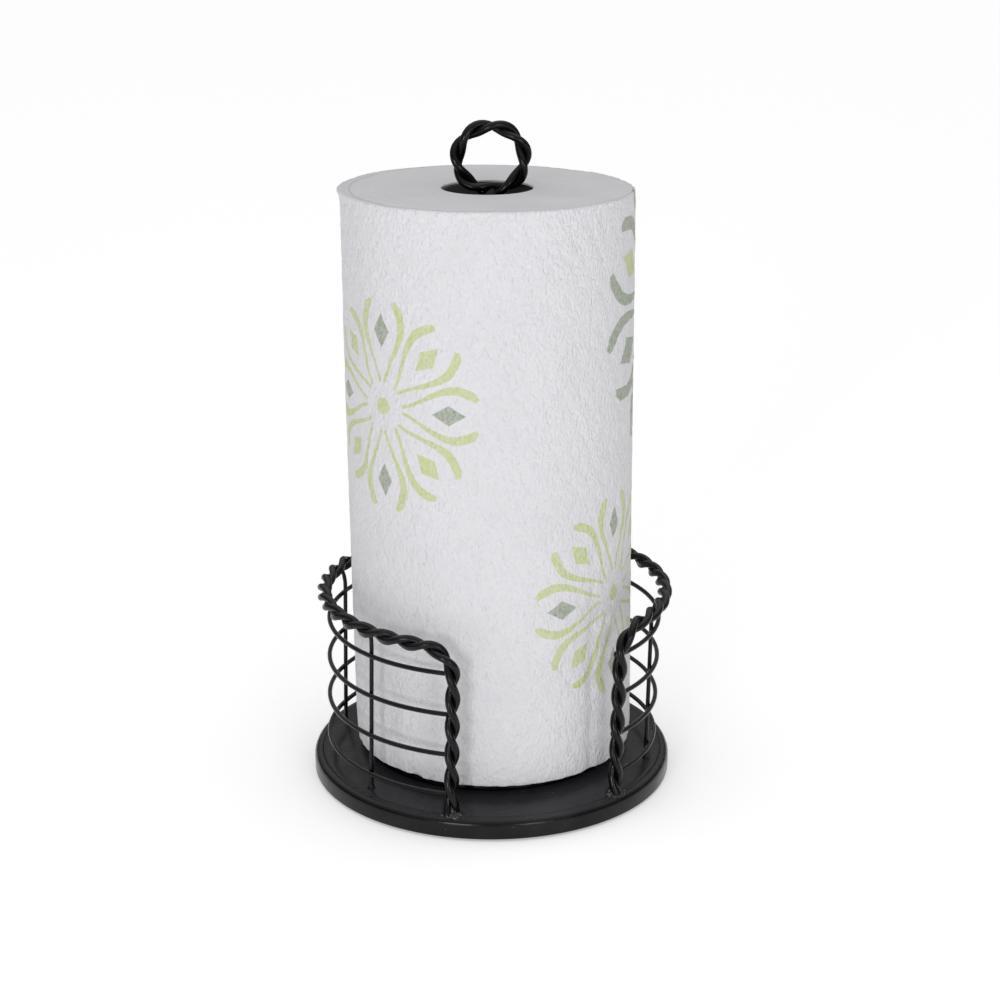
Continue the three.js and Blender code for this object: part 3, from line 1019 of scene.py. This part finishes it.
def paper_roll():
    bm = bmesh.new()
    draw_outline(
        bm,
        [
            (INNER_RADIUS, ROLL_FOOT, 0),
            (ROLL_RADIUS, ROLL_FOOT, RIM_ROUNDING),
            (ROLL_RADIUS, ROLL_TOP, RIM_ROUNDING),
            (LIP_RADIUS, ROLL_TOP, 0.5 * MM),
            (LIP_RADIUS, ROLL_TOP - LIP_DEPTH, 0),
            (INNER_RADIUS, ROLL_TOP - LIP_DEPTH, 0),
        ],
    )
    wall = [e for e in bm.edges if min(v.co.x for v in e.verts) > ROLL_RADIUS - 1e-5]
    wall = [e for e in wall if e.calc_length() > 50 * MM]
    face = [e for e in bm.edges if 20 * MM < e.calc_length() < 50 * MM]
    bmesh.ops.subdivide_edges(bm, edges=wall, cuts=WALL_CUTS)
    bmesh.ops.subdivide_edges(bm, edges=face, cuts=FACE_CUTS)
    turn_about_axis(bm, ROLL_STEPS)
    for vert in bm.verts:
        radius = vert.co.xy.length
        height = vert.co.z
        top_share = max(0.0, min(1.0, (ROLL_RADIUS + SLACK - radius) / RIM_BAND))
        if radius > ROLL_RADIUS - RIM_ROUNDING - SLACK:
            relief = wall_relief(vert)
            vert.co.xy *= (radius + relief) / radius
        if height > ROLL_TOP - RIM_ROUNDING - SLACK and radius > INNER_RADIUS + 0.5 * MM:
            vert.co.z += face_relief(vert, radius) * (0.4 + 0.6 * top_share)
        if abs(radius - INNER_RADIUS) > BORE_BAND:
            vert.co += slump(height)
    return bm


PETALS = 8
DOT_RADIUS = 4.0
STROKE_START = 11.7
STROKE_END = 51.0
STROKE_HALF_WIDTHS = (0.8, 2.3)
OPENING_HALF_WIDTHS = (0.9, 11.9)
TIPS_CURL_IN = 4.2
LOZENGE_MIDDLE = 36
LOZENGE_HALF_LENGTH = 8.2
LOZENGE_HALF_WIDTH = 4.8


def rosette_group():
    """One printed rosette, in millimetres: eight petals round a dot, each two opening strokes with
    a lozenge between them. It takes a place on the roll and the rosette's own place, size and
    turn, and gives the cover of its two inks. The second fills only the upright petals' lozenges."""
    tree = bpy.data.node_groups.new("leaf_rosette", "ShaderNodeTree")
    taken = ("angle", "height", "facing", "rise", "size", "turn")
    inks = ("first ink", "second ink")
    for name in taken:
        tree.interface.new_socket(name, in_out="INPUT", socket_type="NodeSocketFloat")
    for name in inks:
        tree.interface.new_socket(name, in_out="OUTPUT", socket_type="NodeSocketFloat")
    given = tree.nodes.new("NodeGroupInput")
    values = {name: given.outputs[name] for name in taken}
    half_petal = math.pi / PETALS
    # Each sum is its result's name, its operation and its inputs. FADE goes smoothly from one
    # value to another between two limits.
    for result, operation, *inputs in (
        ("from centre", "SUBTRACT", "angle", "facing"),
        ("wrapped", "WRAP", "from centre", math.pi, -math.pi),
        ("arc", "MULTIPLY", "wrapped", ROLL_RADIUS / MM),
        ("across", "DIVIDE", "arc", "size"),
        ("level", "MULTIPLY", "height", 1 / MM),
        ("above", "SUBTRACT", "level", "rise"),
        ("up", "DIVIDE", "above", "size"),
        ("across squared", "MULTIPLY", "across", "across"),
        ("radius squared", "MULTIPLY_ADD", "up", "up", "across squared"),
        ("radius", "SQRT", "radius squared"),
        ("pointing", "ARCTAN2", "up", "across"),
        ("bearing", "SUBTRACT", "pointing", "turn"),
        ("off axis", "PINGPONG", "bearing", half_petal),
        ("sine", "SINE", "off axis"),
        ("aside", "MULTIPLY", "radius", "sine"),
        ("cosine", "COSINE", "off axis"),
        ("along", "MULTIPLY", "radius", "cosine"),
        ("spread", "FADE", "along", 8, 39, *OPENING_HALF_WIDTHS),
        ("curl", "FADE", "along", 39, 54, 0, TIPS_CURL_IN),
        ("opening", "SUBTRACT", "spread", "curl"),
        ("half width", "FADE", "along", 13, 48, *STROKE_HALF_WIDTHS),
        ("off stroke", "SUBTRACT", "aside", "opening"),
        ("gap", "ABSOLUTE", "off stroke"),
        ("beyond", "SUBTRACT", "gap", "half width"),
        ("line", "FADE", "beyond", -0.2, 0.25, 1, 0),
        ("inner end", "FADE", "radius", STROKE_START - 0.5, STROKE_START + 0.5, 0, 1),
        ("rounded", "MULTIPLY_ADD", "gap", 0.7, "radius"),
        ("outer end", "FADE", "rounded", STROKE_END - 0.4, STROKE_END + 0.4, 1, 0),
        ("both ends", "MULTIPLY", "inner end", "outer end"),
        ("strokes", "MULTIPLY", "line", "both ends"),
        ("dot", "FADE", "radius", DOT_RADIUS - 0.2, DOT_RADIUS + 0.3, 1, 0),
        ("strokes and dot", "MAXIMUM", "strokes", "dot"),
        ("off middle", "SUBTRACT", "along", LOZENGE_MIDDLE),
        ("either way", "ABSOLUTE", "off middle"),
        ("length share", "DIVIDE", "either way", LOZENGE_HALF_LENGTH),
        ("width share", "DIVIDE", "aside", LOZENGE_HALF_WIDTH),
        ("both shares", "ADD", "length share", "width share"),
        ("lozenges", "FADE", "both shares", 0.93, 1.05, 1, 0),
        ("off upright", "PINGPONG", "bearing", 2 * half_petal),
        ("upright petals", "FADE", "off upright", half_petal - 0.01, half_petal + 0.01, 1, 0),
        ("second ink", "MULTIPLY", "lozenges", "upright petals"),
        ("other lozenges", "SUBTRACT", "lozenges", "second ink"),
        ("first ink", "MAXIMUM", "strokes and dot", "other lozenges"),
    ):
        kind = "ShaderNodeMath"
        settings = {"operation": operation}
        keys = range(len(inputs))
        if operation == "FADE":
            kind = "ShaderNodeMapRange"
            settings = SMOOTH
            keys = ("Value", "From Min", "From Max", "To Min", "To Max")
        used = [values.get(entry, entry) for entry in inputs]
        values[result] = add(tree, kind, settings, dict(zip(keys, used))).outputs[0]
    given_back = tree.nodes.new("NodeGroupOutput")
    for name in inks:
        tree.links.new(values[name], given_back.inputs[name])
    return tree


# Rosettes on the outer turn: degrees from the front, height above the roll's foot, size, turn,
# and which ink is the first
ROSETTES = (
    (-61.4, 185.7, 1.0, 0, "pale green"),
    (42.4, 88.5, 1.0, 0, "pale green"),
    (97.0, 224.0, 1.5, -25, "grey"),
    (146.0, 82.0, 1.0, 6, "pale green"),
    (-152.0, 195.0, 1.0, 3, "pale green"),
)
INKS = {"pale green": "#bfca8c", "grey": "#939c88"}


def towel_paper():
    """Soft two-ply tissue: a cool off-white without gloss. Fine upright embossing catches light
    from the side, and the pale green and grey inks are thin and broken by it."""
    material, tree, shader, place = new_material("embossed_towel_tissue")
    axes = add(tree, "ShaderNodeSeparateXYZ", {}, {"Vector": place})
    behind = add(tree, "ShaderNodeMath", TIMES, {0: axes.outputs["Y"], 1: -1.0})
    angle = add(tree, "ShaderNodeMath", {"operation": "ARCTAN2"}, {0: axes.outputs["X"], 1: behind})
    rosette = rosette_group()
    laid = {ink: 0.0 for ink in INKS}
    for degrees, height, size, turn, first in ROSETTES:
        printed = add(
            tree,
            "ShaderNodeGroup",
            {"node_tree": rosette},
            {
                "angle": angle,
                "height": axes.outputs["Z"],
                "facing": math.radians(degrees),
                "rise": ROLL_FOOT / MM + height,
                "size": size,
                "turn": math.radians(turn),
            },
        )
        for ink in INKS:
            patch = printed.outputs["first ink" if ink == first else "second ink"]
            laid[ink] = add(tree, "ShaderNodeMath", {"operation": "MAXIMUM"}, {0: laid[ink], 1: patch})

    reach = add(tree, "ShaderNodeVectorMath", TIMES, {0: place, 1: (1, 1, 0)})
    from_axis = add(tree, "ShaderNodeVectorMath", {"operation": "LENGTH"}, {0: reach})
    on_wall = add(
        tree,
        "ShaderNodeMapRange",
        {},
        {
            "Value": from_axis.outputs["Value"],
            "From Min": ROLL_RADIUS - 3.2 * MM,
            "From Max": ROLL_RADIUS - 2.6 * MM,
        },
    )
    grain = add(tree, "ShaderNodeTexNoise", {}, {"Vector": place, "Scale": 1 / (0.7 * MM), "Detail": 2.0})
    stretched = add(
        tree,
        "ShaderNodeMapping",
        {},
        {"Vector": place, "Scale": (1 / (1.4 * MM), 1 / (1.4 * MM), 1 / (2.3 * MM))},
    )
    emboss = add(
        tree,
        "ShaderNodeTexNoise",
        {},
        {"Vector": stretched, "Scale": 1.0, "Detail": 1.5, "Distortion": 0.2},
    )
    rough = add(tree, "ShaderNodeMath", {"operation": "ADD"}, {0: grain, 1: emboss})
    broken = add(
        tree,
        "ShaderNodeMapRange",
        {},
        {"Value": rough, "From Min": 0.75, "From Max": 1.15, "To Min": 1.0, "To Max": 0.62},
    )
    takes_ink = add(tree, "ShaderNodeMath", TIMES, {0: broken, 1: on_wall})
    clouds = add(tree, "ShaderNodeTexNoise", {}, {"Vector": place, "Scale": 1 / (30 * MM), "Detail": 4.0})
    tissue = add(tree, "ShaderNodeMix", COLOURS, {0: clouds, 6: linear("#d6d5d9"), 7: linear("#dfdee2")})
    colour = tissue.outputs[2]
    for ink, shade in INKS.items():
        cover = add(tree, "ShaderNodeMath", TIMES, {0: laid[ink], 1: takes_ink})
        inked = add(tree, "ShaderNodeMix", COLOURS, {0: cover, 6: colour, 7: linear(shade)})
        colour = inked.outputs[2]
    turns = add(
        tree,
        "ShaderNodeMath",
        {"operation": "MULTIPLY_ADD"},
        {0: from_axis.outputs["Value"], 1: 1 / (0.45 * MM), 2: angle},
    )
    edges = add(
        tree, "ShaderNodeTexNoise", {"noise_dimensions": "1D"}, {"W": turns, "Scale": 1.0, "Detail": 2.0}
    )
    off_wall = add(tree, "ShaderNodeMath", {"operation": "SUBTRACT"}, {0: 1.0, 1: on_wall})
    wound = add(tree, "ShaderNodeMath", TIMES, {0: edges, 1: off_wall})
    raised = add(tree, "ShaderNodeMath", TIMES, {0: emboss, 1: on_wall})
    winding = add(tree, "ShaderNodeBump", {}, {"Height": wound, "Distance": 0.3 * MM, "Strength": 0.45})
    pressed = add(
        tree,
        "ShaderNodeBump",
        {},
        {"Height": raised, "Distance": 1.25 * MM, "Strength": 0.9, "Normal": winding},
    )
    fibres = add(
        tree,
        "ShaderNodeBump",
        {},
        {"Height": grain, "Distance": 0.08 * MM, "Strength": 0.5, "Normal": pressed},
    )
    feed(
        tree,
        shader,
        {
            "Roughness": 0.95,
            "Specular IOR Level": 0.2,
            "Sheen Weight": 0.08,
            "Base Color": colour,
            "Normal": fibres,
        },
    )
    return material


make_piece("paper_roll", paper_roll(), towel_paper(), "towel", "towel_paper", "towel_roll")


# ----------------------------------------------------------
# Studio: a plain pale floor that runs out of sight, a surround that is bright overhead and dim low
# down, with a pale backdrop beyond the floor, and two soft lamps in front.

FLOOR_SIZE = 40.0
CAMERA_PLACE = Vector((-260.25, -917.36, 452.46)) * MM
CAMERA_DOWN = math.radians(18.05)
CAMERA_TURN = math.radians(-16.1)
CAMERA_LENS = 72.6

floor_mesh = bpy.data.meshes.new("floor")
floor_bm = bmesh.new()
bmesh.ops.create_grid(floor_bm, x_segments=1, y_segments=1, size=FLOOR_SIZE / 2)
floor_bm.to_mesh(floor_mesh)
floor_bm.free()
floor = bpy.data.objects.new("floor", floor_mesh)
floor.location.z = -0.05 * MM
bpy.context.scene.collection.objects.link(floor)

pale = bpy.data.materials.new("pale_paper_floor")
pale.use_nodes = True
feed(
    pale.node_tree,
    pale.node_tree.nodes["Principled BSDF"],
    {
        "Base Color": linear("#f4f4f4"),
        "Roughness": 1.0,
        "Specular IOR Level": 0.0,
        "Emission Color": linear("#ffffff"),
        "Emission Strength": 0.33,
    },
)
floor_mesh.materials.append(pale)

world = bpy.data.worlds.new("studio")
world.use_nodes = True
bpy.context.scene.world = world
sky = world.node_tree
ways = add(sky, "ShaderNodeTexCoord", {}, {}).outputs["Generated"]
height_of = add(sky, "ShaderNodeSeparateXYZ", {}, {"Vector": ways}).outputs["Z"]
dimming = add(
    sky,
    "ShaderNodeMapRange",
    {},
    {"Value": height_of, "From Min": 0.1, "From Max": 1.0, "To Min": 0.0, "To Max": 1.14},
)
seen = add(sky, "ShaderNodeLightPath", {}, {}).outputs["Is Camera Ray"]
strength = add(sky, "ShaderNodeMath", {"operation": "MAXIMUM"}, {0: dimming, 1: seen})
sky.links.new(strength.outputs[0], sky.nodes["Background"].inputs["Strength"])
sky.nodes["Background"].inputs["Color"].default_value = (1, 1, 1, 1)

for side, place, power in (
    ("left", Vector((-1.45, -1.95, 0.5)), 14.2),
    ("right", Vector((0.35, -2.4, 0.45)), 8.5),
):
    softbox = bpy.data.lights.new(f"softbox_{side}", "AREA")
    softbox.shape = "RECTANGLE"
    softbox.size = 0.6
    softbox.size_y = 0.5
    softbox.energy = power
    lamp = bpy.data.objects.new(f"softbox_{side}", softbox)
    lamp.location = place
    lamp.rotation_euler = (Vector((0, 0, 0.15)) - place).to_track_quat("-Z", "Y").to_euler()
    bpy.context.scene.collection.objects.link(lamp)

camera_data = bpy.data.cameras.new("camera")
camera_data.lens = CAMERA_LENS
camera_data.sensor_width = 36
camera_data.clip_end = 100
camera = bpy.data.objects.new("camera", camera_data)
camera.location = CAMERA_PLACE
camera.rotation_euler = (math.pi / 2 - CAMERA_DOWN, 0, CAMERA_TURN)
bpy.context.scene.collection.objects.link(camera)
bpy.context.scene.camera = camera
bpy.context.scene.view_settings.view_transform = "Standard"
